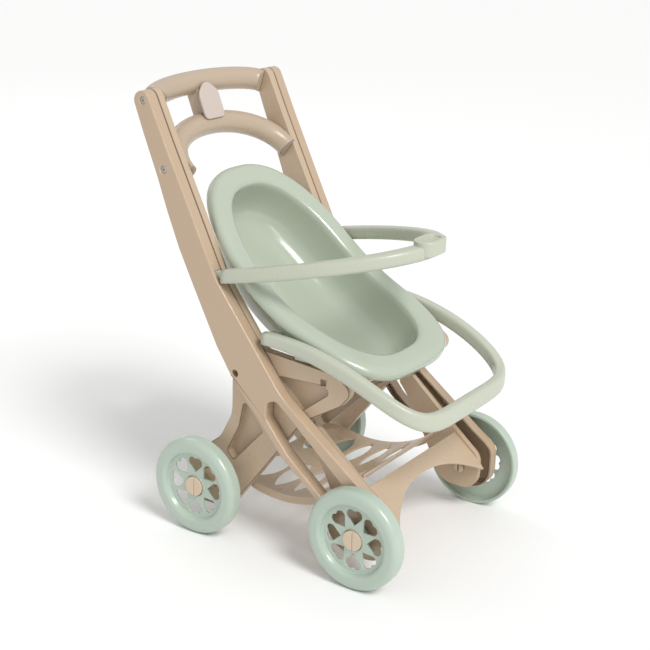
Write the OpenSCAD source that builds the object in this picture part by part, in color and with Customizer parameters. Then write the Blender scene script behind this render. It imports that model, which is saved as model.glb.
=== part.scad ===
// Doll stroller: a moulded plastic push toy in four wheels, two side frames,
// a push handle, a bucket seat with bumper bar and foot loop, and a basket.
// X runs across the stroller, the front faces -Y and Z is up from the floor.

/* [Wheels] */
// Diameter of each wheel
wheel_d = 120; // [96:1:144]
// Width of a wheel across its tread
wheel_w = 18; // [15:1:24]
// Distance between the front and the rear axles
wheel_base = 225; // [187:1:270]
// Number of heart-shaped openings in a wheel
hearts = 8; // [6:1:9]
// Diameter of the pin that a wheel turns on
pin_d = 11; // [9:0.5:14]
// Diameter of the slotted head of a pin
pin_head_d = 24; // [20:1:28]
// Gap all round between a pin and the wheel's bore
running_gap = 0.05; // [0.03:0.01:0.1]
// Gap at each side of a wheel along its pin
side_gap = 2.5; // [1.5:0.1:4]

/* [Side frames] */
// Width over the two outer faces of the side frames
frame_w = 254; // [212:1:305]
// Depth of an outer frame shell from its face to the parting line
shell_w = 16; // [13:1:20]
// Depth of an inner frame half from the parting line to its inner face
cover_w = 11; // [9:0.5:14]
// Wall of the moulded parts
wall = 3; // [2:0.25:4]
// Radius of the round foot of each leg about its axle
foot_r = 34; // [28:1:40]
// Outer radius of a hub boss in a leg
hub_r = 12; // [10:0.5:16]
// Height of the rounded top of the side frames above the axles
rail_top = 447; // [410:1:500]
// Radius of the rounded top end of a side frame
rail_end_r = 11; // [9:0.5:13]

/* [Handle] */
// Diameter of the push handle's tubes
tube_d = 27.5; // [22:0.5:30]
// How far the upper tube bows backwards
grip_bow = 27; // [20:1:45]
// How far the lower arch rises from its ends
arch_rise = 64; // [45:1:75]
// Width of the badge plate between the tubes
badge_w = 36; // [24:1:44]

/* [Seat] */
// Length of the backrest along its slope
seat_back = 177; // [150:1:190]
// Length of the sitting part along its slope
seat_front = 162; // [140:1:180]
// How far the seat's rim reaches out past the inner faces of the frame
seat_over = 10; // [5:1:14]
// Width of the rolled rim
rim_w = 30; // [22:1:36]
// Depth of the bucket under its rim
seat_depth = 62; // [45:1:70]

/* [Bumper and foot loop] */
// Height of the bumper bar's section
bumper_h = 17; // [13:1:20]
// Thickness of the bumper bar at its ends
bumper_t = 14; // [10:1:17]
// How far the bumper bar reaches in front of the rails
bumper_reach = 196; // [170:1:240]
// Height of the foot loop's section at its ends
loop_h = 15; // [12:1:18]
// Thickness of the foot loop's section
loop_t = 13; // [9:1:16]
// How far the foot loop reaches forward from its ends
loop_reach = 202; // [170:1:230]

/* [Basket] */
// Length of the rolled skirt under the basket's sides
skirt_h = 10; // [6:1:14]
// Radius of the basket's hanging curve
sag_r = 150; // [130:1:200]
// Number of rows of leaf-shaped slots
slot_rows = 5; // [3:1:6]

/* [Screws] */
// Diameter of a screw's head
screw_head_d = 7.5; // [6:0.5:9]
// Diameter of a screw's shank
screw_d = 3.5; // [3:0.25:4.5]

/* [Hidden] */
$fn = 64;

beige = [0.76, 0.67, 0.57];
blush = [0.85, 0.79, 0.76];
tan = [0.80, 0.70, 0.60];
sage = [0.70, 0.76, 0.68];
wheel_green = [0.66, 0.74, 0.67];
steel = [0.55, 0.54, 0.52];

axle_y = wheel_base / 2;
axle_z = wheel_d / 2;
face_x = frame_w / 2;             // outer face of a side frame
part_x = face_x - shell_w;        // parting line between the two halves
inner_x = part_x - cover_w;       // inner face of a side frame
cheek_x = inner_x + 6.5;          // outer face of the basket's cheeks
plug = 0.2;                       // clearance of a plugged or screwed joint
seam = 0.1;                       // gap at a moulded parting line

// Points on the arc that rounds corner p, between its neighbours a and b
function unit(v) = v / norm(v);
function corner(a, p, b, r, n = 7) =
    let (u = unit(a - p), v = unit(b - p),
         half = acos(max(-1, min(1, u * v))) / 2,
         reach = min(r / tan(half), 0.48 * norm(a - p), 0.48 * norm(b - p)),
         rr = reach * tan(half),
         c = p + unit(u + v) * rr / sin(half),
         s = p + u * reach - c, e = p + v * reach - c,
         a0 = atan2(s[1], s[0]),
         turn = atan2(s[0] * e[1] - s[1] * e[0], s * e))
    [for (i = [0:n]) c + rr * [cos(a0 + turn * i / n), sin(a0 + turn * i / n)]];
// An outline of [y, z, corner radius] with its corners rounded
function rounded(pts) =
    let (n = len(pts), q = [for (p = pts) [p[0], p[1]]])
    [for (i = [0:n - 1])
        each pts[i][2] > 0 ? corner(q[(i + n - 1) % n], q[i], q[(i + 1) % n], pts[i][2])
                           : [q[i]]];
// The same outline drawn in by d; the points run anticlockwise
function drawn_in(q, d) =
    let (n = len(q))
    [for (i = [0:n - 1])
        let (u = unit(q[i] - q[(i + n - 1) % n]), v = unit(q[(i + 1) % n] - q[i]),
             a = [-u[1], u[0]], b = [-v[1], v[0]])
        q[i] + d * (a + b) / (1 + a * b)];
function mix(a, b, t) = a + (b - a) * t;
function ease(t) = let (u = max(0, min(1, t))) u * u * (3 - 2 * u);
function power(v, e) = sign(v) * pow(abs(v), e);

// A side-view outline, made solid between two planes across the stroller
module slab(x0, x1) {
    translate([x0, 0, axle_z]) rotate([90, 0, 90]) linear_extrude(x1 - x0) children();
}
// A round bar across the stroller at [y, z] from the front or rear axle
module cross_rod(x0, x1, at, d, sides = 48) {
    translate([x0, at[0], axle_z + at[1]]) rotate([90, 0, 90]) cylinder(d = d, h = x1 - x0, $fn = sides);
}
// What is drawn for the left side appears on the right one
module on_side(side) {
    mirror([side < 0 ? 1 : 0, 0, 0]) children();
}
// The whole stroller stands with its middle over the origin
module home() {
    translate([0, -mid_y, 0]) children();
}
// A skin over a list of rings, closed with flat ends or joined round
module skin(rings, looped = false) {
    m = len(rings[0]);
    n = len(rings);
    pts = [for (r = rings) each r];
    last = looped ? n - 1 : n - 2;
    sides = [for (i = [0:last], j = [0:m - 1])
                let (a = i * m + j, b = i * m + (j + 1) % m,
                     c = ((i + 1) % n) * m + (j + 1) % m, d = ((i + 1) % n) * m + j)
                each [[a, c, b], [a, d, c]]];
    ends = looped ? [] : [[for (j = [0:m - 1]) j], [for (j = [m - 1:-1:0]) (n - 1) * m + j]];
    polyhedron(points = pts, faces = concat(sides, ends), convexity = 6);
}

// ---- side frames: outlines as [y, height above the axles, corner radius] ----
rail_end = [199.5, rail_top];     // centre of the rounded top of a side frame
grip = rail_end - [0, 5];         // centre of the upper tube's ends
arch_at = [156.5, rail_top - 84]; // centre of the lower arch's ends
rail_lean = 65;                   // slope of the rail at its top
rail_dir = [cos(rail_lean), sin(rail_lean)];
rail_back = [sin(rail_lean), -cos(rail_lean)];
rear_top = rail_end + rail_end_r * (rail_dir + rail_back);
front_top = rail_end + rail_end_r * (rail_dir - rail_back);

rail_rear = [[72, 148, 12], [92, 178, 0], [127, 245, 0], [147, 284.5, 0],
             [163.5, 324, 0], [178.5, 364, 0], [197.5, 409.4, 0],
             [rear_top[0], rear_top[1], rail_end_r]];
rail_front = [[front_top[0], front_top[1], rail_end_r], [166.6, 403.5, 0], [126, 322, 0],
              [93.7, 258, 120]];
front_foot = [[-axle_y - foot_r - 2, -foot_r + 6, foot_r], [-axle_y + foot_r - 2, -foot_r + 6, foot_r]];
rear_foot = [[axle_y - foot_r + 6, -foot_r, foot_r], [axle_y + foot_r, -foot_r, foot_r]];

shell_outline = rounded(concat(
    front_foot, [[-51, 26, 40], [-2, 64, 40]],
    rail_rear, rail_front,
    [[-0.7, 137, 100], [-axle_y - 9.5, 47, 30], [-axle_y - foot_r - 2, 29, 18]]));
shell_slot = rounded([[-axle_y + 34, 12, 9], [-55, 33, 20], [-11.5, 67.8, 30], [20.5, 106, 8],
    [19.5, 124, 8], [8, 131, 10], [-12, 115, 60], [-axle_y + 24, 51, 9]]);

inner_outline = rounded(concat(
    rear_foot, [[axle_y + foot_r, 20, 16], [98, 58, 30], [80.5, 92, 40], [80.5, 136, 8]],
    rail_rear, rail_front,
    [[35, 181, 8], [-6, 178, 60], [-62, 174, 30], [-87, 158, 14], [-70, 138, 10], [-20, 107, 20]]));
triangle_recess = rounded([[-57, 151, 6], [-16, 118, 4], [19, 154, 4], [-44, 157, 12]]);
web_recess = rounded([[78, 33, 3], [88, 42, 6], [70, 78, 20], [63, 112, 3], [36, 80, 3]]);
band_pocket = rounded([[90, 2, 6], [98, 14, 4], [34, 74, 3], [-64, 156, 4], [-74, 150, 4], [20, 72, 3]]);
rail_cavity = drawn_in(rounded(concat([[60, 150, 6]], rail_rear, rail_front, [[20, 166, 4]])), wall);

rail_screws = [[198.5, rail_top, 4], [169, rail_top - 75, 4], [65, 150, 11]];  // [y, z, how deep the hole is]

bumper_z = 261;                   // middle of the bumper's ends
bumper_x = face_x - bumper_t / 2; // middle of the bumper's arms
tongue_h = 8;                     // tongues of the bumper bar in the shells

module side_shell(side) {
    color(beige) home() on_side(side) difference() {
        union() {
            difference() {
                slab(part_x + seam, face_x) polygon(shell_outline);
                slab(part_x - 1, face_x - wall) polygon(drawn_in(shell_outline, wall));
            }
            // the slot has its own wall round it, as deep as the shell
            difference() {
                slab(part_x + seam, face_x - 1) polygon(drawn_in(shell_slot, -wall));
                slab(part_x - 1, face_x) polygon(shell_slot);
            }
            cross_rod(cheek_x + plug, face_x - 1, [-axle_y, 0], 2 * hub_r);
            for (s = rail_screws) cross_rod(part_x + seam, face_x - 1, s, screw_head_d + 4);
        }
        slab(part_x - 1, face_x + 1) polygon(shell_slot);
        slab(bumper_x - 6 - plug, bumper_x + 1 + plug) translate([60, bumper_z - tongue_h / 2 - plug])
            square([60, tongue_h + 2 * plug]);
        cross_rod(inner_x, face_x + 1, [-axle_y, 0], pin_d + 2 * plug);
        for (s = rail_screws) {
            cross_rod(part_x - 1, face_x + 1, s, screw_d + plug);
            cross_rod(face_x - s[2], face_x + 1, s, screw_head_d + 1);
        }
    }
}
module side_shell_left() side_shell(1);
module side_shell_right() side_shell(-1);

module inner_frame(side) {
    color(beige) home() on_side(side) difference() {
        union() {
            difference() {
                slab(inner_x, part_x) polygon(inner_outline);
                slab(inner_x + wall, part_x + 1) polygon(rail_cavity);
                slab(part_x - 9, part_x + 1) polygon(triangle_recess);
                slab(part_x - 9, part_x + 1) polygon(web_recess);
                slab(inner_x - 1, part_x - wall) polygon(band_pocket);
            }
            cross_rod(inner_x, face_x, [axle_y, 0], 2 * hub_r);
            for (s = rail_screws) cross_rod(inner_x + 1, part_x, s, screw_head_d + 1);
            cross_rod(inner_x + 1, part_x, arch_at, hub_r);
        }
        cross_rod(inner_x - 1, face_x + 1, [axle_y, 0], pin_d + 2 * plug);
        for (s = rail_screws) cross_rod(inner_x + 2, part_x + 1, s, screw_d);
        // the square catch beside the recess
        slab(part_x - 5, part_x + 1) translate([-47, 161]) square(6, center = true);
    }
}
module inner_frame_left() inner_frame(1);
module inner_frame_right() inner_frame(-1);

// ---- push handle ----
// Path that leaves [end] along [rise] at one side and comes back at the other
function arc_path(half, end, rise, e, n = 40) =
    [for (i = [0:n])
        let (t = 180 * i / n, c = cos(t), q = sin(t), r = pow(pow(abs(c), e) + pow(abs(q), e), -1 / e))
        [half * r * c, end[0] + rise[0] * r * q, axle_z + end[1] + rise[1] * r * q]];
// Rings of a round tube along a path that lies in a plane holding [rise]
function tube_rings(path, rise, d, m = 24) =
    let (n = len(path) - 1, up = unit([0, -rise[1], rise[0]]))
    [for (i = [0:n])
        let (go = unit(path[min(n, i + 1)] - path[max(0, i - 1)]), out = cross(up, go))
        [for (j = [0:m - 1]) path[i] + d / 2 * (up * cos(360 * j / m) - out * sin(360 * j / m))]];
grip_rise = [grip_bow, grip_bow * 0.29];
arch_lean = 37.6;                 // slope of the plane that the lower arch lies in
grip_mid = grip + grip_rise;
arch_mid = arch_at + arch_rise * [cos(arch_lean), sin(arch_lean)];
strut_lean = atan2(grip_mid[0] - arch_mid[0], grip_mid[1] - arch_mid[1]);
handle_mid = mix(grip_mid, arch_mid, 0.5);

module push_handle() {
    color(beige) home() difference() {
        union() {
            skin(tube_rings(arc_path(inner_x, grip, grip_rise, 2), grip_rise, tube_d));
            skin(tube_rings(arc_path(inner_x, arch_at, arch_mid - arch_at, 2.1), arch_mid - arch_at, tube_d));
            translate([0, handle_mid[0], axle_z + handle_mid[1]]) rotate([-strut_lean, 0, 0])
                cube([badge_w * 0.6, tube_d * 0.7, norm(grip_mid - arch_mid)], center = true);
        }
        // both tubes end flat against the frames
        for (s = [-1, 1]) on_side(s) slab(inner_x - plug / 2, inner_x + tube_d)
            translate(grip - [200, 200]) square([300, 300]);
    }
}
// Plate with a rounded top that lies against the fronts of both tubes
badge_t = 3;
badge_h = 46;
module handle_badge() {
    color(blush) home() translate([0, handle_mid[0], axle_z + handle_mid[1]]) rotate([90 - strut_lean, 0, 0])
        translate([0, 0, tube_d / 2 + plug / 2]) linear_extrude(badge_t)
            polygon(rounded([[-badge_w / 2, -badge_h / 2, 6], [badge_w / 2, -badge_h / 2, 6],
                             [badge_w / 2, badge_h * 0.2, 14], [0, badge_h * 0.56, 14],
                             [-badge_w / 2, badge_h * 0.2, 14]]));
}

// ---- seat ----
seat_mid = [35, 236];             // middle of the rim's bend
lean_back = 44;                   // slope of the backrest's rim
lean_seat = 24.7;                 // slope of the sitting part's rim
bend_half = 50;                   // length of the bend at each side of its middle
seat_x = inner_x + seat_over;     // half of the seat's width over its rim
bend_r = bend_half * 2 / ((lean_back - lean_seat) * PI / 180);
function lean_at(l) = mix(lean_seat, lean_back, max(0, min(1, 0.5 + l / (2 * bend_half))));
function bend_at(l, sink = 0) =
    let (a = lean_at(l), b = lean_at(0), over = l - max(-bend_half, min(bend_half, l)))
    seat_mid + bend_r * [sin(a) - sin(b), cos(b) - cos(a)] + over * [cos(a), sin(a)] + sink * [sin(a), -cos(a)];
// The further the rim reaches over the rails, the rounder its back must be to pass them
back_round = 3.5 - seat_over / 10;
// Ring of the bucket, drawn in from the rim's edge and sunk below its plane
function seat_ring(in, sink, n = 72) =
    [for (i = [0:n - 1])
        let (t = -360 * i / n - 90, e = mix(sin(t) > 0 ? back_round : 3.4, 2.4, min(1, in / 50)),
             r = pow(pow(abs(cos(t)), e) + pow(abs(sin(t)), e), -1 / e),
             long = (sin(t) > 0 ? seat_back : seat_front) - in,
             p = bend_at(long * r * sin(t), sink))
        [(seat_x - in * 0.9) * r * cos(t), p[0], axle_z + p[1]]];
rim_top = 5;                      // the rim's crest above its plane
rim_under = 1;                    // the rim's flat underside below its plane
rim_skirt = 8;                    // the rim's lower edge below its plane
module seat_tub() {
    roll = [for (i = [0:5]) [rim_w * 0.3 * (1 - cos(i * 18)), 3 - (rim_top + 3) * sin(i * 18)]];
    fall = [for (i = [0:10])
        let (t = i / 10)
        [rim_w + (seat_x - rim_w - 30) * pow(t, 2.4), (seat_depth - 2) * sin(90 * pow(t, 0.8)) - 1]];
    rings = concat([for (i = [10:-1:0]) fall[i]], [[rim_w * 0.8, 1 - rim_top]], [for (i = [5:-1:0]) roll[i]],
                   [[0, rim_skirt], [wall, rim_skirt], [rim_w * 0.2, rim_under], [rim_w - wall, rim_under]],
                   [for (i = [1:10]) fall[i] + [-wall * (1 - i / 10), wall * (0.3 + 0.07 * i)]]);
    color(sage) home() skin([for (p = rings) seat_ring(p[0], p[1])]);
}

// Plate under each side of the seat that carries it on the frame
bracket_x = inner_x + 1;          // outer face of a seat bracket
bracket_t = 8;
shelf_z = 178;                    // top of the frame's bracket above the axles
module seat_bracket(side) {
    edge = [for (i = [0:8]) bend_at(mix(-72, 44, i / 8), rim_under + plug / 2)];
    color(sage) home() on_side(side) {
        slab(bracket_x - bracket_t, bracket_x) polygon(concat(edge,
            rounded([[60, 246, 4], [20, 205, 6], [-6, shelf_z + plug / 2, 4], [-34, shelf_z + plug / 2, 4]])));
        slab(bracket_x - 1, inner_x + 9)
            polygon(rounded([[-34, shelf_z + plug / 2, 2], [-6, shelf_z + plug / 2, 2], [-4, 188, 3], [-30, 184, 3]]));
    }
}
module seat_bracket_left() seat_bracket(1);
module seat_bracket_right() seat_bracket(-1);

// ---- bumper bar and foot loop ----
// Ring of a bar's section at p: [go] is its heading, h its height and t its thickness
function bar_ring(p, go, h, t, m = 12) =
    let (out = unit([go[1], -go[0], 0]))
    [for (i = [0:m - 1])
        let (a = -360 * i / m)
        p + out * power(cos(a), 0.5) * t / 2 + [0, 0, 1] * power(sin(a), 0.5) * h / 2];
// Path of a bar that leaves the frame at y0 and bows forward by [reach]
function bow_path(half, y0, z0, reach, rise, lift, e, n = 48) =
    [for (i = [0:n])
        let (t = 180 * i / n, r = pow(pow(abs(cos(t)), e) + pow(abs(sin(t)), e), -1 / e), q = r * sin(t))
        [half * r * cos(t), y0 - reach * q, axle_z + z0 + rise * q + lift * 4 * q * (1 - q)]];
// Its section grows from [h, t] at the ends to [h2, t2] in the middle
module bowed_bar(path, s, s2) {
    n = len(path) - 1;
    skin([for (i = [0:n])
        let (go = path[min(n, i + 1)] - path[max(0, i - 1)], k = sin(180 * i / n),
             head = i == 0 || i == n ? [0, i == 0 ? -1 : 1, 0] : go)
        bar_ring(path[i], head, mix(s[0], s2[0], k), mix(s[1], s2[1], k))]);
}

bumper_y = 86;                    // ends of the bumper, at the front of the rails
bumper_rise = 41;
bumper_mid = [0, bumper_y - bumper_reach, axle_z + bumper_z + bumper_rise];
cap_half = 23;                    // half of the length of the oval piece
cap_w = 27;
cap_sunk = bumper_h / 2 - 4;      // how far it is let into the bar
module stadium(long, wide) {
    for (s = [-1, 1]) translate([s * (long - wide) / 2, 0]) circle(d = wide);
    square([long - wide, wide], center = true);
}
module bumper_bar() {
    color(sage) home() {
        difference() {
            bowed_bar(bow_path(bumper_x, bumper_y, bumper_z, bumper_reach, bumper_rise, 0, 1.9),
                      [bumper_h, bumper_t], [bumper_h, bumper_t + 5]);
            translate(bumper_mid - [0, 0, cap_sunk + plug]) linear_extrude(2 * bumper_h)
                stadium(2 * cap_half + 2 * plug, cap_w + 2 * plug);
        }
        // tongues that plug into the rails
        for (s = [-1, 1]) on_side(s) slab(bumper_x - 6, bumper_x + 1)
            translate([bumper_y - 2, bumper_z - tongue_h / 2]) square([22, tongue_h]);
    }
}
// Oval piece at the middle of the bumper bar, with a shallow recess on top
cap_h = 17.5;
module bumper_cap() {
    color(sage) home() translate(bumper_mid - [0, 0, cap_sunk]) difference() {
        linear_extrude(cap_h) stadium(2 * cap_half, cap_w);
        translate([0, 0, cap_h - 3]) linear_extrude(10) stadium(2 * cap_half - 14, cap_w - 12);
    }
}

loop_y = 31;                      // ends of the foot loop
loop_z = 198;
loop_x = seat_x + plug + loop_t / 2;
module foot_loop() {
    color(sage) home() {
        bowed_bar(bow_path(loop_x, loop_y, loop_z, loop_reach, -66, 18, 6), [loop_h, loop_t], [loop_h * 1.5, loop_t]);
        // lugs that join its ends to the seat's brackets
        for (s = [-1, 1]) on_side(s) slab(bracket_x + plug / 2, loop_x) translate([loop_y - 16, loop_z - 5])
            square([15, 10]);
    }
}

// ---- basket ----
tray_x = inner_x - plug;          // half of the basket's width between the frames
tray_low = 3;                     // lowest point of the basket above the axles
tray_y = 20;
ridge = [-102, 44];               // edge between the basket and its front apron
slope = 39;                       // slope of the apron and the front legs
apron_x = part_x - 3;             // half of the apron's width
tray_end = 78;
leaf_half = 13;                   // half of the width of the rearmost slots
function tray_z(y) = tray_low + sag_r - sqrt(sag_r * sag_r - pow(y - tray_y, 2));
tray_side = [for (i = [0:24]) let (y = mix(ridge[0] + 4, tray_end, i / 24)) [y, tray_z(y)]];
// A strip that hangs [deep] below the basket's curve
function sling(deep) = concat(tray_side, [for (i = [24:-1:0]) tray_side[i] - [0, deep]]);
// Leaf shape between two arcs, from the middle rib out to the side
module leaf(x0, x1, half) {
    c = (x1 - x0) / 2;
    r = (c * c + half * half) / (2 * half);
    translate([(x0 + x1) / 2, 0]) intersection() {
        translate([0, r - half]) circle(r = r, $fn = 96);
        translate([0, half - r]) circle(r = r, $fn = 96);
    }
}
module basket() {
    foot = [-axle_y, 0];
    cheek = rounded([[-axle_y - 26, -26, 24], [-axle_y + 26, -26, 26], [-43, 62, 20], [-19, 93, 3],
                     [-38, 104, 3], [-axle_y + 7, 47, 40], [-axle_y - 26, 20, 20]]);
    color(beige) home() difference() {
        union() {
            // hanging floor with its skirts, cut to a rounded plan
            intersection() {
                union() {
                    slab(-tray_x, tray_x) polygon(sling(wall));
                    for (s = [-1, 1]) on_side(s) slab(tray_x - wall, tray_x) polygon(sling(skirt_h));
                }
                linear_extrude(axle_z + 300) polygon(rounded([[-tray_x, -130, 0], [tray_x, -130, 0],
                    [tray_x, tray_end, 24], [-tray_x, tray_end, 24]]));
            }
            // front apron, arched over the floor
            translate([0, ridge[0], axle_z + ridge[1]]) rotate([slope, 0, 0]) translate([0, 0, -wall])
                linear_extrude(wall) polygon(concat([[apron_x, -30], [apron_x, 0], [-apron_x, 0], [-apron_x, -30]],
                    [for (i = [-20:20]) let (x = i / 20 * (apron_x - 10)) [x, -20 - 38 * pow(abs(i / 20), 2.3)]]));
            for (s = [-1, 1]) on_side(s) slab(inner_x - 0.5, cheek_x) polygon(cheek);
        }
        for (i = [0:slot_rows - 1], s = [-1, 1]) {
            k = i / max(1, slot_rows - 1);
            on_side(s) translate([0, mix(62, -48, k), 0]) linear_extrude(axle_z + 300)
                leaf(10, tray_x - 12, mix(leaf_half, leaf_half / 2, k));
        }
        for (s = [-1, 1]) on_side(s) cross_rod(inner_x - 2, face_x, foot, pin_d + 2 * plug);
    }
}

// ---- wheels and their pins ----
tread_in = face_x + side_gap;     // inner plane of the wheels
tread_out = tread_in + wheel_w;
web_at = 7;                       // web behind the wheel's outer plane
web_t = 3;
hub_d = pin_head_d + 6;
dish_r = wheel_d * 0.325;         // radius of the dished middle
heart_in = hub_d / 2 + 2;
heart_out = dish_r - 3;

// Heart with its point towards the hub, [length] long
module heart(long) {
    r = long * 0.31;
    c = [long - r, r * 0.72];
    a = atan2(c[1], c[0]) + asin(r / norm(c));
    p = sqrt(c * c - r * r) * [cos(a), sin(a)];
    for (s = [-1, 1]) translate([c[0], s * c[1]]) circle(r = r, $fn = 32);
    polygon([[0, 0], [p[0], -p[1]], [c[0], 0], [p[0], p[1]]]);
}
module wheel(side, y) {
    rr = wheel_d / 2;
    e = 9;                        // rounding of the tread's outer edge
    bore = pin_d / 2 + running_gap;
    section = rounded([[bore, 0, 0.6], [hub_d / 2, 0, 1], [hub_d / 2, wheel_w - web_at - web_t, 1],
        [dish_r, wheel_w - web_at - web_t, 2], [rr - wall - 1, wheel_w - web_at - 2, 2],
        [rr - wall - 1, 0, 1], [rr, 0, 1.5], [rr, wheel_w, e], [dish_r + 4, wheel_w, e - 2],
        [dish_r + 1, wheel_w - web_at, 1.5],
        [hub_d / 2 - 1, wheel_w - web_at, 1], [pin_head_d / 2 + 0.8, wheel_w - web_at + 3, 0.8],
        [pin_head_d / 2 + 0.8, wheel_w - web_at - 1, 0], [bore, wheel_w - web_at - 1, 0]]);
    color(wheel_green) home() on_side(side) translate([tread_in, y, axle_z]) rotate([90, 0, 90]) difference() {
        rotate_extrude($fn = 128) polygon(section);
        for (i = [0:hearts - 1]) rotate([0, 0, 90 + 360 * i / hearts]) translate([heart_in, 0, -1])
            linear_extrude(wheel_w + 2) heart(heart_out - heart_in);
    }
}
module front_left_wheel() wheel(1, -axle_y);
module front_right_wheel() wheel(-1, -axle_y);
module rear_left_wheel() wheel(1, axle_y);
module rear_right_wheel() wheel(-1, axle_y);

// Push-in pin: slotted head, shank and a split end behind the leg
module axle_pin(side, y) {
    head_at = tread_out - web_at - 1;
    tail = inner_x - 5;
    color(tan) home() on_side(side) translate([0, y, axle_z]) rotate([90, 0, 90]) difference() {
        union() {
            translate([0, 0, head_at + 0.3]) cylinder(d = pin_head_d, h = 4.5);
            translate([0, 0, tail]) cylinder(d = pin_d, h = head_at + 1 - tail, $fn = 48);
            translate([0, 0, tail]) cylinder(d1 = pin_d, d2 = pin_d + 2.4, h = 3, $fn = 48);
        }
        translate([-0.8, -pin_head_d, head_at + 3.6]) cube([1.6, 2 * pin_head_d, 3]);
        translate([-1, -pin_d, tail - 1]) cube([2, 2 * pin_d, 12]);
    }
}
module front_left_pin() axle_pin(1, -axle_y);
module front_right_pin() axle_pin(-1, -axle_y);
module rear_left_pin() axle_pin(1, axle_y);
module rear_right_pin() axle_pin(-1, axle_y);

// ---- screws ----
// Pan-head screw along X with its head outwards and a cross recess
module screw(x_head, x_tip, at) {
    translate([0, at[0], axle_z + at[1]]) rotate([90, 0, 90]) difference() {
        union() {
            translate([0, 0, x_head - 2.2]) cylinder(d = screw_head_d, h = 2.2, $fn = 32);
            translate([0, 0, x_tip]) cylinder(d = screw_d, h = x_head - x_tip - 1, $fn = 24);
        }
        for (a = [0, 90]) rotate([0, 0, a]) translate([-screw_head_d * 0.3, -0.5, x_head - 1.2])
            cube([screw_head_d * 0.6, 1, 3]);
    }
}
module frame_screws(side) {
    color(steel) home() on_side(side) for (s = rail_screws) screw(face_x - s[2] + 2.2, part_x - 8, s);
}
module frame_screws_left() frame_screws(1);
module frame_screws_right() frame_screws(-1);

// Middle of the stroller's length, between the foot loop or the front wheels and
// the grip or the rear wheels
rear_y = max(grip_mid[0] + tube_d / 2, axle_y + wheel_d / 2);
front_y = min(loop_y - loop_reach - loop_t / 2, -axle_y - wheel_d / 2);
mid_y = (rear_y + front_y) / 2;

side_shell_left();
side_shell_right();
inner_frame_left();
inner_frame_right();
push_handle();
handle_badge();
seat_tub();
seat_bracket_left();
seat_bracket_right();
bumper_bar();
bumper_cap();
foot_loop();
basket();
front_left_wheel();
front_right_wheel();
rear_left_wheel();
rear_right_wheel();
front_left_pin();
front_right_pin();
rear_left_pin();
rear_right_pin();
frame_screws_left();
frame_screws_right();
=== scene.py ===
# %% [markdown]
# # A doll stroller in moulded plastic
# The stroller is a push toy: two hollow side frames, a push handle, a bucket
# seat with a bumper bar and a foot loop, a basket and four clipped-on wheels.
# All of it but the screws came out of injection moulds, so each part has a
# soft edge, a smooth satin skin and one colour right through. This lesson
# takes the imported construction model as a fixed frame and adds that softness.

# %% Load the frame
import math

import bmesh
import bpy
from mathutils import Matrix, Vector


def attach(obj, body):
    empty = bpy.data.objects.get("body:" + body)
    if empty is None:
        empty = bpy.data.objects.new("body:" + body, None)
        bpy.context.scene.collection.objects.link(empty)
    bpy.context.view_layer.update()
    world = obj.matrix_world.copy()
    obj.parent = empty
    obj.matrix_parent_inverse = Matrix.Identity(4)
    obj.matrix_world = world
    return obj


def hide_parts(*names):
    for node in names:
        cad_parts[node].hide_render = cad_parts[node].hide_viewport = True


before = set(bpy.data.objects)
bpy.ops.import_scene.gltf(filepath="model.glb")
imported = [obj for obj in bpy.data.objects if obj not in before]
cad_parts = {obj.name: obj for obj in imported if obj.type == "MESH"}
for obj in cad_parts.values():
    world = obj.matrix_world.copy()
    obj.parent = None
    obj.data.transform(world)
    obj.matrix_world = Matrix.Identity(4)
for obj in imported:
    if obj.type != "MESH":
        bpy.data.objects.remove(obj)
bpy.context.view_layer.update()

# %% [markdown]
# The construction is written in millimetres from a point midway between the
# axles. The frame is in metres and its origin is at the middle of the whole
# stroller, so one small function carries a point across. Keeping the drawing's
# own numbers makes each piece easy to compare with the part it stands for.

# %% From the drawing to the frame
MM = 0.001
MID_Y = 31.375  # middle of the stroller's length, from midway between the axles
AXLE_Z = 60.0   # the axles above the floor


def at(x, y, z):
    """A point of the drawing, z above the axles, as a place in the frame."""
    return Vector((x, y - MID_Y, z + AXLE_Z)) * MM


print("rear left axle:", [round(v, 4) for v in at(138.5, 112.5, 0)])

# %% [markdown]
# A finished piece is a mesh whose object stays at the origin. The helper below
# closes the work on a bmesh: it points the faces outwards, shades them smooth
# and can add weighted normals, which keep large flat faces flat while the
# narrow rounded edges beside them carry the curve.

# %% Finish a mesh
def finish_piece(bm, name, body, weighted=True, recalc=True):
    if recalc:
        bmesh.ops.recalc_face_normals(bm, faces=bm.faces)
    for face in bm.faces:
        face.smooth = True
    mesh = bpy.data.meshes.new(name)
    bm.to_mesh(mesh)
    bm.free()
    piece = bpy.data.objects.new(name, mesh)
    bpy.context.scene.collection.objects.link(piece)
    if weighted:
        keep = piece.modifiers.new("weighted normals", "WEIGHTED_NORMAL")
        keep.weight = 70
    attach(piece, body)
    print(name, "has", len(mesh.polygons), "faces")
    return piece


# %% [markdown]
# The side frames, basket, wheels and small fittings have the right shape in
# the construction model, but its edges are knife sharp. A moulded edge has a
# radius, and that radius is what catches the light as a thin bright line. A
# copy of the part is merged, its flat faces are joined, and its sharp edges
# are bevelled. The bevel's faces get an attribute called edge, so a material
# can rub the colour a little there. Where two halves of a frame meet, the two
# bevels make a groove. Those faces are marked as groove so that a material can
# paint the shade that falls in it.

# %% Round the edges of a copy
SAME_POINT = 0.00002            # metres: points closer than this are one point
SHORTEST = 0.0001               # metres: shorter edges are left alone
FLAT = math.radians(0.5)        # faces that turn less than this are one face
SHARP = math.radians(32)        # edges that turn more than this are rounded
SEAM_X, SEAM_REACH = 111.0, 1.7  # where the halves of a frame meet, in mm


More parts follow.
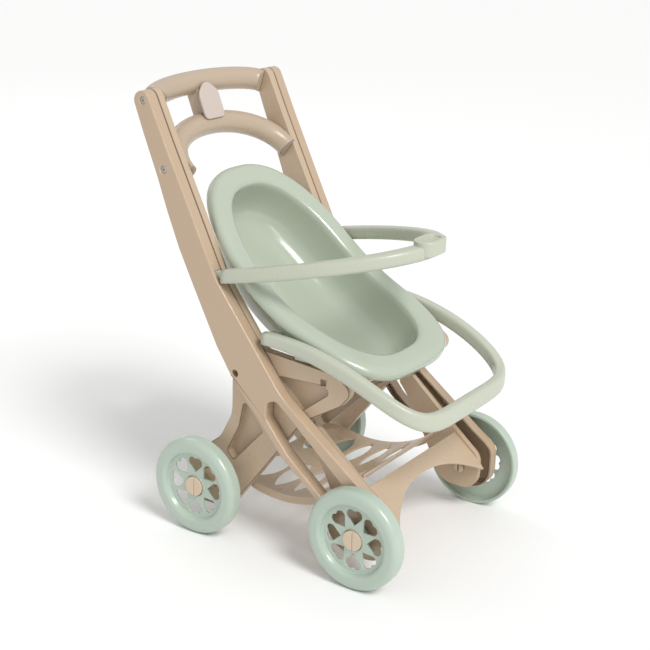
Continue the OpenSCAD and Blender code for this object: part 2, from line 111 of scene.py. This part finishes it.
def softened(name, node, body, width, segments=2, seam=False):
    bm = bmesh.new()
    bm.from_mesh(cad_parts[node].data)
    bmesh.ops.remove_doubles(bm, verts=bm.verts, dist=SAME_POINT)
    bmesh.ops.dissolve_limit(bm, angle_limit=FLAT, verts=bm.verts, edges=bm.edges)
    bmesh.ops.triangulate(bm, faces=[f for f in bm.faces if len(f.verts) > 4])
    hard = [e for e in bm.edges if e.is_manifold and e.calc_face_angle(0.0) > SHARP
            and e.calc_length() > SHORTEST]
    made = bmesh.ops.bevel(bm, geom=hard, offset=width * MM, offset_type="OFFSET",
                           affect="EDGES", segments=segments, profile=0.5, material=-1,
                           clamp_overlap=False, loop_slide=False)
    edge = bm.loops.layers.float_color.new("edge")
    groove = bm.loops.layers.float_color.new("groove")
    bevelled = set(made["faces"])
    # Bevel faces along the seam between a frame's halves get the groove mark. The material paints
    # shade there, standing in for the shadow in that crease.
    for face in bm.faces:
        deep = seam and abs(abs(face.calc_center_median().x) / MM - SEAM_X) < SEAM_REACH
        worn = 1.0 if face in bevelled and not deep else 0.0
        shaded = 1.0 if face in bevelled and deep else 0.0
        for corner in face.loops:
            corner[edge] = (worn, worn, worn, 1.0)
            corner[groove] = (shaded, shaded, shaded, 1.0)
    return finish_piece(bm, name, body, recalc=False)


# %% [markdown]
# Each side frame is two halves: an outer shell and an inner half that meet at
# a fine parting line. The moulds gave the rails a radius of about a millimetre
# and a half, which shows as the long highlight down the stroller's front.

# %% Side frames
pieces = {}
for side in ("left", "right"):
    shell = softened(f"outer_shell_{side}", f"side_shell_{side}", "chassis", width=1.6,
                     segments=3, seam=True)
    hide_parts(f"side_shell_{side}")
    inner = softened(f"inner_half_{side}", f"inner_frame_{side}", "chassis", width=1.0, seam=True)
    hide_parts(f"inner_frame_{side}")
    pieces[f"shell_{side}"] = shell
    pieces[f"inner_{side}"] = inner

# %% [markdown]
# The handle is two round tubes that bow from frame to frame. A round bar along
# a path is a disc pushed along it: each step extrudes the end face and turns it
# to the path's next heading. The path is half an oval, a little fuller than an
# ellipse for the lower tube.

# %% Push a section along a path
def half_oval(half, start, rise, power, steps):
    """Points from one side to the other over a half oval that rises by [rise]."""
    points = []
    for i in range(steps + 1):
        turn = math.pi * i / steps
        c, s = math.cos(turn), math.sin(turn)
        reach = (abs(c) ** power + abs(s) ** power) ** (-1 / power)
        points.append((half * reach * c, start[0] + rise[0] * reach * s,
                       start[1] + rise[1] * reach * s))
    return points


def station(point, across, up):
    """Matrix that lays a unit disc at [point] with its own two half widths."""
    out = across.cross(up).normalized()
    m = Matrix((across, up, out)).transposed().to_4x4()
    m.translation = point
    return m


def pushed(bm, stations, sides, squareness=2.0):
    """Push a section along the stations: 2 is a disc, more is squarer."""
    made = bmesh.ops.create_circle(bm, cap_ends=True, segments=sides, radius=1.0)
    for v in made["verts"]:
        c, s = abs(v.co.x), abs(v.co.y)
        v.co *= (c ** squareness + s ** squareness) ** (-1 / squareness)
    verts = made["verts"]
    end = verts[0].link_faces[0]
    bmesh.ops.transform(bm, matrix=stations[0], verts=verts)
    for i, (last, here) in enumerate(zip(stations, stations[1:])):
        more = bmesh.ops.extrude_face_region(bm, geom=[end])["geom"]
        if i > 0 and end.is_valid:
            bmesh.ops.delete(bm, geom=[end], context="FACES_ONLY")
        end = [g for g in more if isinstance(g, bmesh.types.BMFace)][0]
        bmesh.ops.transform(bm, matrix=here @ last.inverted(), verts=list(end.verts))


def tube(bm, path, rise):
    """Round tube on a path that lies in the plane of X and [rise]."""
    up = Vector((0.0, -rise[1], rise[0])).normalized()
    points = [at(*p) for p in path]
    stations = []
    for i, p in enumerate(points):
        go = (points[min(i + 1, len(points) - 1)] - points[max(i - 1, 0)]).normalized()
        stations.append(station(p, up.cross(go) * TUBE_D / 2 * MM, up * TUBE_D / 2 * MM))
    pushed(bm, stations, TUBE_SIDES)


# %% [markdown]
# The upper tube bows back a little and the lower one arches further. Their ends
# are cut off flat where they meet the frames, and the cuts are closed.

# %% Push handle
TUBE_D, TUBE_SIDES, TUBE_STEPS = 27.5, 40, 56
TUBE_HALF = 99.9
GRIP_END, GRIP_BOW, GRIP_SLOPE, GRIP_FULL = (199.5, 442.0), 27.0, 0.29, 2.0
ARCH_END, ARCH_BOW, ARCH_LEAN, ARCH_FULL = (156.5, 363.0), 64.0, math.radians(37.6), 2.1
CUT_WITHIN = 1e-6
grip_rise = (GRIP_BOW, GRIP_BOW * GRIP_SLOPE)
arch_rise = (ARCH_BOW * math.cos(ARCH_LEAN), ARCH_BOW * math.sin(ARCH_LEAN))
bm = bmesh.new()
tube(bm, half_oval(TUBE_HALF, GRIP_END, grip_rise, GRIP_FULL, TUBE_STEPS), grip_rise)
tube(bm, half_oval(TUBE_HALF, ARCH_END, arch_rise, ARCH_FULL, TUBE_STEPS), arch_rise)
for cut in (-1, 1):
    bmesh.ops.bisect_plane(bm, geom=bm.verts[:] + bm.edges[:] + bm.faces[:], dist=CUT_WITHIN,
                           plane_co=at(TUBE_HALF * cut, 0, 0), plane_no=(cut, 0, 0),
                           clear_outer=True)
    rims = [e for e in bm.edges if e.is_boundary]
    bmesh.ops.edgeloop_fill(bm, edges=rims)
handle = finish_piece(bm, "handle_tubes", "chassis")
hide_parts("push_handle")
pieces["handle"] = handle
print("upper tube bows back by", round(grip_rise[0], 1), "mm")

# %% [markdown]
# A short strut ties the two tubes behind the badge. It is a block with broad
# soft corners, narrower than the badge that covers it.

# %% Strut between the tubes
STRUT_W, STRUT_T, STRUT_ROUND = 36 * 0.6, TUBE_D * 0.7, 2.5
grip_mid = at(0, GRIP_END[0] + grip_rise[0], GRIP_END[1] + grip_rise[1])
arch_mid = at(0, ARCH_END[0] + arch_rise[0], ARCH_END[1] + arch_rise[1])
rise_mid = grip_mid - arch_mid
strut_turn = math.atan2(rise_mid.y, rise_mid.z)
bm = bmesh.new()
strut_size = Matrix.Diagonal((STRUT_W * MM, STRUT_T * MM, rise_mid.length, 1.0))
strut_place = Matrix.Translation((grip_mid + arch_mid) / 2) @ Matrix.Rotation(-strut_turn, 4, "X")
bmesh.ops.create_cube(bm, size=1.0, matrix=strut_place @ strut_size)
bmesh.ops.bevel(bm, geom=bm.edges[:], offset=STRUT_ROUND * MM, offset_type="OFFSET",
                affect="EDGES", segments=3, profile=0.5, material=-1)
strut = finish_piece(bm, "handle_strut", "chassis")
pieces["strut"] = strut

# %% [markdown]
# The badge is a small plate with a rounded top. It is left blank here. Its
# copy from the construction gets an edge of a little under a millimetre.

# %% Badge
badge = softened("badge_plate", "handle_badge", "chassis", width=0.8, segments=3)
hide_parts("handle_badge")
pieces["badge"] = badge

# %% [markdown]
# The seat is a deep bucket with a fat rolled rim, bent like a small chaise. It
# is a stack of closed rings: from the middle of the floor up the inner wall,
# over the rolled rim, and down again under it. Each ring is an edge loop that
# is extruded and laid in its place. Many rings close together keep the roll
# round.

# %% Rings of the seat
SEAT_MID = (35.0, 236.0)
LEAN_SEAT, LEAN_BACK, BEND = 24.7, 44.0, 50.0
BEND_R = BEND * 2 / math.radians(LEAN_BACK - LEAN_SEAT)
SEAT_HALF, SEAT_BACK, SEAT_FRONT, SEAT_DEPTH = 110.0, 177.0, 162.0, 62.0
RIM_W, RIM_TOP, RIM_SKIRT, WALL = 30.0, 5.0, 8.0, 3.0
# How full the outline is: 2 is an ellipse, and more is squarer.
BACK_FULL, FRONT_FULL, FLOOR_FULL, FULL_FADE = 2.5, 3.4, 2.4, 50
SIDE_SHARE = 0.9                # a ring moves in less at the sides than at the ends


def on_bend(length, sink):
    """Point of the seat's middle line: [length] along it and [sink] below it."""
    share = max(0.0, min(1.0, 0.5 + length / (2 * BEND)))
    a = math.radians(LEAN_SEAT + (LEAN_BACK - LEAN_SEAT) * share)
    b = math.radians((LEAN_SEAT + LEAN_BACK) / 2)
    over = length - max(-BEND, min(BEND, length))
    y = SEAT_MID[0] + BEND_R * (math.sin(a) - math.sin(b)) + over * math.cos(a)
    z = SEAT_MID[1] + BEND_R * (math.cos(b) - math.cos(a)) + over * math.sin(a)
    return y + sink * math.sin(a), z - sink * math.cos(a)


def rim_point(turn, inset, sink, shrink):
    """Point of a ring: [inset] from the outline, [sink] below, drawn in by [shrink]."""
    c, s = math.cos(turn), math.sin(turn)
    edge = BACK_FULL if s > 0 else FRONT_FULL
    power = edge + (FLOOR_FULL - edge) * min(1.0, inset / FULL_FADE)
    reach = (abs(c) ** power + abs(s) ** power) ** (-1 / power)
    long = (SEAT_BACK if s > 0 else SEAT_FRONT) - inset
    y, z = on_bend(long * reach * s * shrink, sink)
    return at((SEAT_HALF - inset * SIDE_SHARE) * reach * c * shrink, y, z)


print("length over the seat's bend:", SEAT_BACK + SEAT_FRONT, "mm")

# %% [markdown]
# Each ring says how far in from the rim's outline it lies, how far below the
# seat's line, and how much it is drawn in towards the middle. They run from the
# floor up the falling wall, over the lip, crest and roll of the rim to its
# skirt, and back under the same wall, one wall's thickness lower.

# %% Seat tub
FALL_STEPS, ROLL_STEPS, RIM_STEPS, SIDES = 24, 12, 4, 128
FLOOR_SHARES = (0.06, 0.25, 0.45, 0.65, 0.82, 0.94)
FLOOR_HALF, FALL_POWER, FALL_SPEED = 30, 2.4, 0.8
fall = []
for i in range(FALL_STEPS + 1):
    t = i / FALL_STEPS
    fall.append((RIM_W + (SEAT_HALF - RIM_W - FLOOR_HALF) * t ** FALL_POWER,
                 (SEAT_DEPTH - 2) * math.sin(math.radians(90 * t ** FALL_SPEED)) - 1))
roll = []
for i in range(ROLL_STEPS + 1):
    over = math.radians(90 / ROLL_STEPS * i)
    roll.append((RIM_W * 0.3 * (1 - math.cos(over)), 3 - (RIM_TOP + 3) * math.sin(over)))
crest = [(RIM_W * 0.3 + RIM_W * 0.5 * i / RIM_STEPS, (i / RIM_STEPS) ** 2 - RIM_TOP)
         for i in range(1, RIM_STEPS + 1)]
lip = [(RIM_W * 0.8 + RIM_W * 0.2 * i / RIM_STEPS, 1 - RIM_TOP + 3 * (i / RIM_STEPS) ** 1.6)
       for i in range(1, RIM_STEPS)]
floor_in, floor_down = fall[-1]
rings = [(floor_in, floor_down, share) for share in FLOOR_SHARES]
rings += [(a, b, 1.0) for part in (fall, crest + lip, roll) for a, b in reversed(part)]
rings += [(0.0, RIM_SKIRT - 0.8, 1.0), (0.8, RIM_SKIRT, 1.0), (WALL, RIM_SKIRT, 1.0),
          (RIM_W * 0.2, 1.0, 1.0), (RIM_W - WALL, 1.0, 1.0)]
rings += [(a - WALL * (1 - i / FALL_STEPS), b + WALL * (0.3 + 0.7 * i / FALL_STEPS), 1.0)
          for i, (a, b) in enumerate(fall) if i > 0]
rings += [(floor_in, floor_down + WALL, share) for share in reversed(FLOOR_SHARES)]
bm = bmesh.new()
start = bmesh.ops.create_circle(bm, cap_ends=True, segments=SIDES, radius=1.0)["verts"]
turns = [math.atan2(v.co.y, v.co.x) for v in start]
for v, turn in zip(start, turns):
    v.co = rim_point(turn, *rings[0])
loop = [bm.edges.get((start[i], start[(i + 1) % SIDES])) for i in range(SIDES)]
verts = list(start)
for ring in rings[1:]:
    made = bmesh.ops.extrude_edge_only(bm, edges=loop)["geom"]
    fresh = {g for g in made if isinstance(g, bmesh.types.BMVert)}
    verts = [next(e.other_vert(v) for e in v.link_edges if e.other_vert(v) in fresh)
             for v in verts]
    for v, turn in zip(verts, turns):
        v.co = rim_point(turn, *ring)
    loop = [bm.edges.get((verts[i], verts[(i + 1) % SIDES])) for i in range(SIDES)]
bmesh.ops.contextual_create(bm, geom=verts)
seat = finish_piece(bm, "seat_bucket", "chassis", weighted=False)
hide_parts("seat_tub")
pieces["seat"] = seat

# %% [markdown]
# Two plates under the seat stand on the side frames and carry it. They are
# plain mouldings, so a copy with a small round edge is enough.

# %% Seat brackets
for side in ("left", "right"):
    bracket = softened(f"seat_plate_{side}", f"seat_bracket_{side}", "chassis", width=0.8)
    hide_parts(f"seat_bracket_{side}")
    pieces[f"bracket_{side}"] = bracket

# %% [markdown]
# The bumper bar and the foot loop are thick bows with a squared section that
# grows towards the middle. The same push along a path makes them, with a
# section between a disc and a square. A small tongue behind each end of the
# bumper bar plugs into a rail, and a lug joins each end of the loop to the
# plates under the seat.

# %% Bumper bar and foot loop
BAR_STEPS, BAR_SIDES, BAR_SQUARE = 96, 32, 4.0
BLOCK_ROUND = 0.5


def bow(half, start, reach, rise, lift, power):
    """Points of a bow that runs forward by [reach], up by [rise] and arches by [lift]."""
    points = []
    for i in range(BAR_STEPS + 1):
        turn = math.pi * i / BAR_STEPS
        c, s = math.cos(turn), math.sin(turn)
        grow = (abs(c) ** power + abs(s) ** power) ** (-1 / power)
        q = grow * s
        height = start[1] + rise * q + lift * 4 * q * (1 - q)
        points.append((half * grow * c, start[0] - reach * q, height, s))
    return points


def block(bm, low, high):
    """A box between two corners of the drawing, with its edges rounded."""
    a, b = at(*low), at(*high)
    size = Matrix.Diagonal((*(abs(v) for v in b - a), 1.0))
    made = bmesh.ops.create_cube(bm, size=1.0, matrix=Matrix.Translation((a + b) / 2) @ size)
    edges = list({e for v in made["verts"] for e in v.link_edges})
    bmesh.ops.bevel(bm, geom=edges, offset=BLOCK_ROUND * MM, offset_type="OFFSET",
                    affect="EDGES", segments=2, profile=0.5, material=-1)


def bowed_bar(name, path, ends, middle, blocks):
    """Bar on a bow, [ends] and [middle] tall and thick, with a block at each end."""
    points = [at(x, y, z) for x, y, z, _ in path]
    stations = []
    for i, p in enumerate(points):
        go = points[min(i + 1, len(points) - 1)] - points[max(i - 1, 0)]
        if i in (0, len(points) - 1):
            go = Vector((0, -1 if i == 0 else 1, 0))
        out = Vector((go.y, -go.x, 0)).normalized()
        k = path[i][3]
        tall = ends[0] + (middle[0] - ends[0]) * k
        thick = ends[1] + (middle[1] - ends[1]) * k
        stations.append(station(p, out * thick / 2 * MM, Vector((0, 0, tall / 2 * MM))))
    bm = bmesh.new()
    pushed(bm, stations, BAR_SIDES, BAR_SQUARE)
    for low, high in blocks:
        for side in (-1, 1):
            block(bm, (low[0] * side, low[1], low[2]), (high[0] * side, high[1], high[2]))
    return finish_piece(bm, name, "chassis", weighted=False)


bumper_path = bow(half=120.0, start=(86.0, 261.0), reach=196.0, rise=41.0, lift=0.0, power=1.9)
bumper = bowed_bar("bumper_bow", bumper_path, ends=(17, 14), middle=(17, 19),
                   blocks=[((114, 84, 257), (121, 106, 265))])
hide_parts("bumper_bar")
foot_path = bow(half=116.7, start=(31.0, 198.0), reach=202.0, rise=-66.0, lift=18.0, power=6.0)
foot = bowed_bar("foot_bow", foot_path, ends=(15, 13), middle=(22.5, 13),
                 blocks=[((101.1, 15, 193), (116.7, 30, 203))])
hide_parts("foot_loop")
cap = softened("bumper_oval", "bumper_cap", "chassis", width=1.4, segments=3)
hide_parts("bumper_cap")
pieces.update(bumper=bumper, foot=foot, cap=cap)

# %% [markdown]
# The basket is one thin moulding: a hanging floor with leaf-shaped openings,
# skirts along its sides and an arched apron in front. Its thin walls only
# allow a small radius on each edge.

# %% Basket
basket = softened("basket_tray", "basket", "chassis", width=0.7)
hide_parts("basket")
pieces["basket"] = basket

# %% [markdown]
# Each wheel is one moulding with a rounded tread, a dished middle and a ring
# of heart-shaped openings. The slotted pin in its middle stays with the leg
# while the wheel turns round it.

# %% Wheels and pins
for end in ("front", "rear"):
    for side in ("left", "right"):
        wheel = softened(f"{end}_{side}_rolling", f"{end}_{side}_wheel", f"{end}_{side}", width=0.7)
        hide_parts(f"{end}_{side}_wheel")
        pin = softened(f"{end}_{side}_axle", f"{end}_{side}_pin", "chassis", width=0.5)
        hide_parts(f"{end}_{side}_pin")
        pieces[f"wheel_{end}_{side}"] = wheel
        pieces[f"pin_{end}_{side}"] = pin

# %% [markdown]
# Moulded plastic is never one flat colour. The pigment drifts a little, the
# skin has a faint orange-peel, and play leaves fine rubbed marks that scatter
# light. All the plastics share these effects, so they are one node group with
# its own colours and strengths in each material. It gives a colour, a
# roughness and a height, all of which change over the surface.

# %% Node group for moulded plastic
# Painted shade for the groove between a frame's halves: a dark brown laid over its colour.
GROOVE_SHADE = (0.09, 0.06, 0.035, 1)
GROOVE_SHADE_COVER = 0.7                # how much of the groove's colour is the painted shade


def linear(*shades):
    """A colour in steps of 255, turned into the renderer's linear numbers."""
    return tuple(v / 255 / 12.92 if v <= 10 else ((v / 255 + 0.055) / 1.055) ** 2.4
                 for v in shades) + (1.0,)


def make_plastic_group():
    group = bpy.data.node_groups.new("moulded plastic skin", "ShaderNodeTree")
    add = group.interface.new_socket
    for name, kind, value in (("Colour", "NodeSocketColor", (0.5, 0.5, 0.5, 1)),
                              ("Deep colour", "NodeSocketColor", (0.4, 0.4, 0.4, 1)),
                              ("Rubbed colour", "NodeSocketColor", (0.7, 0.7, 0.7, 1)),
                              ("Drift", "NodeSocketFloat", 0.5), ("Gloss", "NodeSocketFloat", 0.3),
                              ("Peel", "NodeSocketFloat", 0.4),
                              ("Rubbing", "NodeSocketFloat", 0.3)):
        add(name=name, in_out="INPUT", socket_type=kind).default_value = value
    add(name="Colour", in_out="OUTPUT", socket_type="NodeSocketColor")
    add(name="Roughness", in_out="OUTPUT", socket_type="NodeSocketFloat")
    add(name="Height", in_out="OUTPUT", socket_type="NodeSocketFloat")
    node, link = group.nodes.new, group.links.new
    take, give = node("NodeGroupInput"), node("NodeGroupOutput")
    where = node("ShaderNodeTexCoord")

    def noise(scale, detail, rough, stretch=(1, 1, 1)):
        lay = node("ShaderNodeMapping")
        lay.inputs["Scale"].default_value = stretch
        link(where.outputs["Object"], lay.inputs["Vector"])
        n = node("ShaderNodeTexNoise")
        n.inputs["Scale"].default_value = scale
        n.inputs["Detail"].default_value = detail
        n.inputs["Roughness"].default_value = rough
        link(lay.outputs["Vector"], n.inputs["Vector"])
        return n.outputs["Fac"]

    def calc(kind, a, b=None, clamp=False):
        m = node("ShaderNodeMath")
        m.operation = kind
        m.use_clamp = clamp
        for i, v in enumerate((a, b)):
            if v is None:
                continue
            if isinstance(v, (int, float)):
                m.inputs[i].default_value = v
            else:
                link(v, m.inputs[i])
        return m.outputs[0]

    def step(value, low, high):
        m = node("ShaderNodeMapRange")
        m.interpolation_type = "SMOOTHSTEP"
        m.inputs["From Min"].default_value = low
        m.inputs["From Max"].default_value = high
        link(value, m.inputs["Value"])
        return m.outputs["Result"]

    def blend(fac, a, b):
        m = node("ShaderNodeMix")
        m.data_type = "RGBA"
        link(fac, m.inputs["Factor"])
        link(a, m.inputs["A"])
        link(b, m.inputs["B"])
        return m.outputs["Result"]

    drift = calc("MULTIPLY", step(noise(5, 3, 0.5), 0.3, 0.75), take.outputs["Drift"])
    colour = blend(drift, take.outputs["Colour"], take.outputs["Deep colour"])
    edge = node("ShaderNodeAttribute")
    edge.attribute_name = "edge"
    worn = calc("MULTIPLY", edge.outputs["Fac"], step(noise(60, 5, 0.65), 0.4, 0.7))
    scuff = calc("MULTIPLY", step(noise(14, 8, 0.7, (1, 0.3, 1)), 0.56, 0.85), 0.35)
    rubbed = calc("MULTIPLY", calc("MAXIMUM", worn, scuff), take.outputs["Rubbing"], clamp=True)
    colour = blend(rubbed, colour, take.outputs["Rubbed colour"])
    groove = node("ShaderNodeAttribute")
    groove.attribute_name = "groove"
    # Painted shade: the groove between the halves is darkened towards a dark brown.
    groove_shade_colour = node("ShaderNodeRGB")
    groove_shade_colour.outputs[0].default_value = GROOVE_SHADE
    colour = blend(calc("MULTIPLY", groove.outputs["Fac"], GROOVE_SHADE_COVER), colour, groove_shade_colour.outputs[0])
    link(colour, give.inputs["Colour"])
    cloud = calc("MULTIPLY", calc("SUBTRACT", noise(22, 5, 0.6), 0.5), 0.1)
    base = calc("ADD", take.outputs["Gloss"], cloud)
    rough = calc("ADD", base, calc("MULTIPLY", rubbed, 0.22), clamp=True)
    link(rough, give.inputs["Roughness"])
    peel = calc("MULTIPLY", noise(420, 2, 0.5), take.outputs["Peel"])
    wave = calc("MULTIPLY", noise(45, 1, 0.4), calc("MULTIPLY", take.outputs["Peel"], 2.0))
    link(calc("ADD", peel, wave), give.inputs["Height"])
    return group


PLASTIC = make_plastic_group()
print("group sockets:", [s.name for s in PLASTIC.interface.items_tree])

# %% [markdown]
# Each plastic has three colours: its own, a deeper one that the pigment drifts
# to, and a paler one where it is rubbed. Gloss is its roughness, and a thin
# coat sharpens the highlights of the smoothest mouldings.

# %% Plastic materials
DRIFT, PEEL = 0.3, 0.4
PLASTIC_IOR, COAT_ROUGH = 1.49, 0.12
BUMP_HEIGHT, BUMP_SHARE = 0.00012, 0.6


def plastic(name, colour, deep, rubbed, gloss, rubbing=0.3, coat=0.0):
    mat = bpy.data.materials.new(name)
    mat.use_nodes = True
    tree = mat.node_tree
    skin = tree.nodes.new("ShaderNodeGroup")
    skin.node_tree = PLASTIC
    for socket, value in (("Colour", linear(*colour)), ("Deep colour", linear(*deep)),
                          ("Rubbed colour", linear(*rubbed)), ("Drift", DRIFT), ("Gloss", gloss),
                          ("Peel", PEEL), ("Rubbing", rubbing)):
        skin.inputs[socket].default_value = value
    shader = tree.nodes["Principled BSDF"]
    shader.inputs["IOR"].default_value = PLASTIC_IOR
    shader.inputs["Coat Weight"].default_value = coat
    shader.inputs["Coat Roughness"].default_value = COAT_ROUGH
    bump = tree.nodes.new("ShaderNodeBump")
    bump.inputs["Distance"].default_value = BUMP_HEIGHT
    bump.inputs["Strength"].default_value = BUMP_SHARE
    tree.links.new(skin.outputs["Colour"], shader.inputs["Base Color"])
    tree.links.new(skin.outputs["Roughness"], shader.inputs["Roughness"])
    tree.links.new(skin.outputs["Height"], bump.inputs["Height"])
    tree.links.new(bump.outputs["Normal"], shader.inputs["Normal"])
    return mat


BEIGE = plastic("beige shell plastic", (188, 164, 138), (184, 160, 134), (204, 185, 162),
                gloss=0.22, coat=0.35)
INNER = plastic("beige inner plastic", (192, 170, 145), (187, 165, 140), (206, 188, 166),
                gloss=0.28)
HANDLE = plastic("beige grip plastic", (183, 165, 144), (179, 161, 140), (198, 182, 162),
                 gloss=0.26, rubbing=0.2)
BADGE = plastic("blush badge plastic", (198, 184, 175), (194, 180, 171), (212, 202, 194),
                gloss=0.3)
SAGE = plastic("sage seat plastic", (178, 187, 170), (173, 183, 165), (196, 202, 187),
               gloss=0.2, coat=0.4)
BAR = plastic("sage bar plastic", (186, 190, 173), (182, 186, 169), (200, 203, 188),
              gloss=0.27)
ROLL = plastic("sage wheel plastic", (177, 192, 178), (173, 188, 174), (194, 205, 194),
               gloss=0.25, coat=0.25)
PIN = plastic("tan pin plastic", (208, 188, 163), (203, 182, 157), (220, 204, 184),
              gloss=0.28)
print("plastics:", [m.name for m in (BEIGE, INNER, HANDLE, BADGE, SAGE, BAR, ROLL, PIN)])

# %% [markdown]
# The screws are zinc-plated steel. Plating is bright with a slight haze, so the
# colour and the roughness both change a little over each head. The screws are
# the construction's own parts and only take the new material.

# %% Screw steel
HAZE_SCALE = 300
STEEL = bpy.data.materials.new("zinc plated steel")
STEEL.use_nodes = True
tree = STEEL.node_tree
shader = tree.nodes["Principled BSDF"]
shader.inputs["Metallic"].default_value = 1.0
where = tree.nodes.new("ShaderNodeTexCoord")
haze = tree.nodes.new("ShaderNodeTexNoise")
haze.inputs["Scale"].default_value = HAZE_SCALE
tree.links.new(where.outputs["Object"], haze.inputs["Vector"])
for socket, low, high in (("Roughness", (0.28, 0.28, 0.28, 1), (0.5, 0.5, 0.5, 1)),
                          ("Base Color", (0.36, 0.35, 0.33, 1), (0.6, 0.59, 0.56, 1))):
    ramp = tree.nodes.new("ShaderNodeValToRGB")
    ramp.color_ramp.elements[0].color = low
    ramp.color_ramp.elements[1].color = high
    tree.links.new(haze.outputs["Fac"], ramp.inputs["Fac"])
    tree.links.new(ramp.outputs["Color"], shader.inputs[socket])
for side in ("left", "right"):
    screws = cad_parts[f"frame_screws_{side}"]
    for held in screws.material_slots:
        held.link = "OBJECT"
        held.material = STEEL
print("screws use", STEEL.name)

# %% [markdown]
# Each piece takes one plastic. Its slot says what kind of plastic that is, so
# all that is moulded in one colour can be given another colour together.

# %% Dress the pieces
def dress(keys, mat):
    for key in keys:
        pieces[key].data.materials.append(mat)


dress(("shell_left", "shell_right"), BEIGE)
dress(("inner_left", "inner_right", "basket"), INNER)
dress(("handle", "strut"), HANDLE)
dress(("badge",), BADGE)
dress(("seat", "bracket_left", "bracket_right"), SAGE)
dress(("bumper", "foot", "cap"), BAR)
dress([k for k in pieces if k.startswith("wheel_")], ROLL)
dress([k for k in pieces if k.startswith("pin_")], PIN)
print("dressed", len(pieces), "pieces")

# %% [markdown]
# The stroller stands on a plain pale floor that runs out of sight. A wide soft
# sun, like a window, comes from the right of its front. A strip light in front
# and a broad one behind draw the highlights on tubes and rims, and a pale sky
# keeps the shadows soft. The camera sees a whiter sky than the one that lights.

# %% Floor and light
FLOOR_REACH = 12.0
SUN_WAY, SUN_STRENGTH, SUN_WIDTH = (0.35, 1.0, -1.15), 1.7, math.radians(22)
AIM = (0, 0, 0.3)
SKY_STRENGTH, SKY_SEEN = 0.64, (0.975, 0.975, 0.975, 1)
bm = bmesh.new()
bmesh.ops.create_grid(bm, x_segments=1, y_segments=1, size=FLOOR_REACH)
floor_mesh = bpy.data.meshes.new("floor")
bm.to_mesh(floor_mesh)
bm.free()
ground = bpy.data.objects.new("floor", floor_mesh)
bpy.context.scene.collection.objects.link(ground)
paper = bpy.data.materials.new("pale floor")
paper.use_nodes = True
shader = paper.node_tree.nodes["Principled BSDF"]
shader.inputs["Base Color"].default_value = (0.93, 0.93, 0.925, 1)
shader.inputs["Roughness"].default_value = 0.9
shader.inputs["Specular IOR Level"].default_value = 0.1
floor_mesh.materials.append(paper)


def soft_light(name, place, width, watts):
    light = bpy.data.lights.new(name, "AREA")
    light.shape = "RECTANGLE"
    light.size, light.size_y = width
    light.energy = watts
    lamp = bpy.data.objects.new(name, light)
    lamp.location = place
    lamp.rotation_euler = (Vector(AIM) - Vector(place)).to_track_quat("-Z", "Y").to_euler()
    bpy.context.scene.collection.objects.link(lamp)


sun = bpy.data.lights.new("window", "SUN")
sun.energy = SUN_STRENGTH
sun.angle = SUN_WIDTH
window = bpy.data.objects.new("window", sun)
window.rotation_euler = Vector(SUN_WAY).to_track_quat("-Z", "Y").to_euler()
bpy.context.scene.collection.objects.link(window)
soft_light("front strip", place=(-0.9, -2.0, 1.6), width=(0.5, 1.6), watts=8)
soft_light("back rim", place=(0.8, 2.0, 2.0), width=(1.4, 0.8), watts=6)
world = bpy.data.worlds.new("pale room")
world.use_nodes = True
tree = world.node_tree
sky = tree.nodes["Background"]
sky.inputs["Color"].default_value = (1.0, 1.0, 1.0, 1)
sky.inputs["Strength"].default_value = SKY_STRENGTH
seen = tree.nodes.new("ShaderNodeBackground")
seen.inputs["Color"].default_value = SKY_SEEN
path = tree.nodes.new("ShaderNodeLightPath")
both = tree.nodes.new("ShaderNodeMixShader")
tree.links.new(path.outputs["Is Camera Ray"], both.inputs["Fac"])
tree.links.new(sky.outputs["Background"], both.inputs[1])
tree.links.new(seen.outputs["Background"], both.inputs[2])
tree.links.new(both.outputs["Shader"], tree.nodes["World Output"].inputs["Surface"])
bpy.context.scene.world = world
bpy.context.scene.view_settings.view_transform = "Standard"

# %% [markdown]
# The camera stands to the right of the stroller's front and looks slightly
# down on it. Its place and turn are worked out from three directions: back
# towards the camera, right and up.

# %% Camera
TURN, RISE, TILT = (math.radians(v) for v in (-56.147, 19.151, 1.607))
ASIDE, HEIGHT, AWAY = -22.763, 247.933, 1631.65
SENSOR, LENS_PER_SENSOR = 36.0, 1380.0 / 650.0
back = Vector((math.sin(TURN) * math.cos(RISE), -math.cos(TURN) * math.cos(RISE), math.sin(RISE)))
right = (-back).cross(Vector((0, 0, 1))).normalized()
up = right.cross(-back)
level_right = right * math.cos(TILT) + up * math.sin(TILT)
level_up = up * math.cos(TILT) - right * math.sin(TILT)
spot = (right * ASIDE + Vector((0, 0, HEIGHT)) + back * AWAY) * MM - Vector((0, MID_Y * MM, 0))
lens = bpy.data.cameras.new("camera")
lens.sensor_width = SENSOR
lens.lens = SENSOR * LENS_PER_SENSOR
eye = bpy.data.objects.new("camera", lens)
turned = Matrix((level_right, level_up, back)).transposed().to_4x4()
turned.translation = spot
eye.matrix_world = turned
bpy.context.scene.collection.objects.link(eye)
bpy.context.scene.camera = eye
print("camera at", [round(v, 3) for v in spot], "lens", round(lens.lens, 2))
